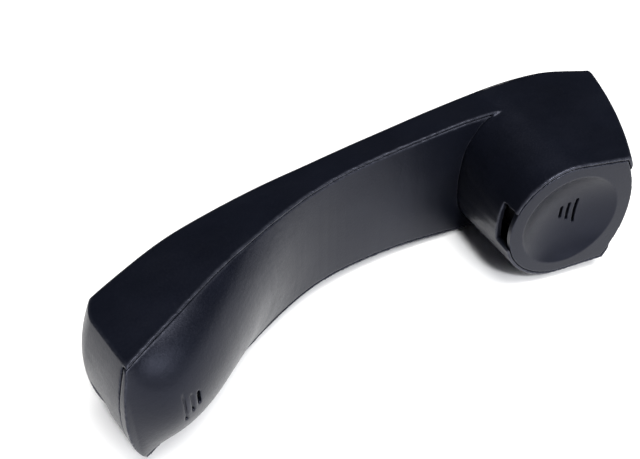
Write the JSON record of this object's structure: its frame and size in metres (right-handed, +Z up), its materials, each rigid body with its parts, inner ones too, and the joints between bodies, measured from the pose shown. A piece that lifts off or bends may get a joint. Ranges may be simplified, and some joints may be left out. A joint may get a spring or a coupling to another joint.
{
  "type": "desk telephone handset",
  "caption": "Curved hand-held telephone handset: D-shaped ear cup with a round slotted dish, slim handle and domed mouthpiece, with a modular jack in its end.",
  "frame": {"origin": "centre of the bounding box at the level of the side it lies on", "axes": "+X along the handset from the mouth end to the ear end, +Y from the speaking side to the back, +Z up across the width"},
  "size_m": [0.2252, 0.0702, 0.0552],
  "materials": {
    "shell_black": "satin moulded ABS with a fine grain",
    "felt_black": "thin acoustic cloth",
    "foam_grey": "open foam",
    "grille_steel": "thin plated sheet",
    "basket_plastic": "moulded",
    "pot_steel": "nickel plated",
    "magnet_ferrite": "sintered, dark",
    "diaphragm_film": "thin clear amber film",
    "coil_copper": "enamelled copper wire",
    "board_resin": "phenolic board",
    "varistor_blue": "dipped epoxy",
    "retainer_plastic": "natural nylon",
    "screw_steel": "zinc plated",
    "weight_steel": "raw bar, oiled",
    "boot_rubber": "soft moulded",
    "capsule_aluminium": "drawn can",
    "jack_plastic": "moulded nylon",
    "contact_gold": "gold plated spring wire",
    "wire_green": "PVC insulation",
    "wire_white": "PVC insulation",
    "wire_red": "PVC insulation",
    "wire_black": "PVC insulation"
  },
  "bodies": {
    "handset": {"back_shell": "shell_black", "front_cover": "shell_black", "ear_cap": "shell_black", "receiver_felt": "felt_black", "receiver_gasket": "foam_grey", "receiver_grille": "grille_steel", "receiver_basket": "basket_plastic", "receiver_pot": "pot_steel", "receiver_magnet": "magnet_ferrite", "receiver_pole_tip": "pot_steel", "receiver_board": "board_resin", "receiver_varistor": "varistor_blue", "receiver_retainer": "retainer_plastic", "retainer_screws": "screw_steel", "cover_screw": "screw_steel", "balance_weight": "weight_steel", "weight_pad": "foam_grey", "weight_screws": "screw_steel", "microphone_felt": "felt_black", "microphone_boot": "boot_rubber", "microphone_capsule": "capsule_aluminium", "jack_housing": "jack_plastic", "receiver_lead_a": "wire_green", "receiver_lead_b": "wire_white", "microphone_lead_a": "wire_red", "microphone_lead_b": "wire_black"},
    "receiver_cone": {"receiver_diaphragm": "diaphragm_film", "receiver_voice_coil": "coil_copper"},
    "jack_springs": {"jack_contacts": "contact_gold"}
  },
  "joints": [
    {"name": "receiver_cone_travel", "type": "slide", "parent": "handset", "child": "receiver_cone", "axis": [-0.1552, -0.9879, 0], "range_m": [-0.00025, 0.00025], "stiffness_N_per_m": 600},
    {"name": "jack_contact_flex", "type": "hinge", "parent": "handset", "child": "jack_springs", "pos_m": [-0.09821, -0.01758, 0.01961], "axis": [0, 0, 1], "range_deg": [0, 8], "stiffness_Nm_per_rad": 0.09}
  ]
}
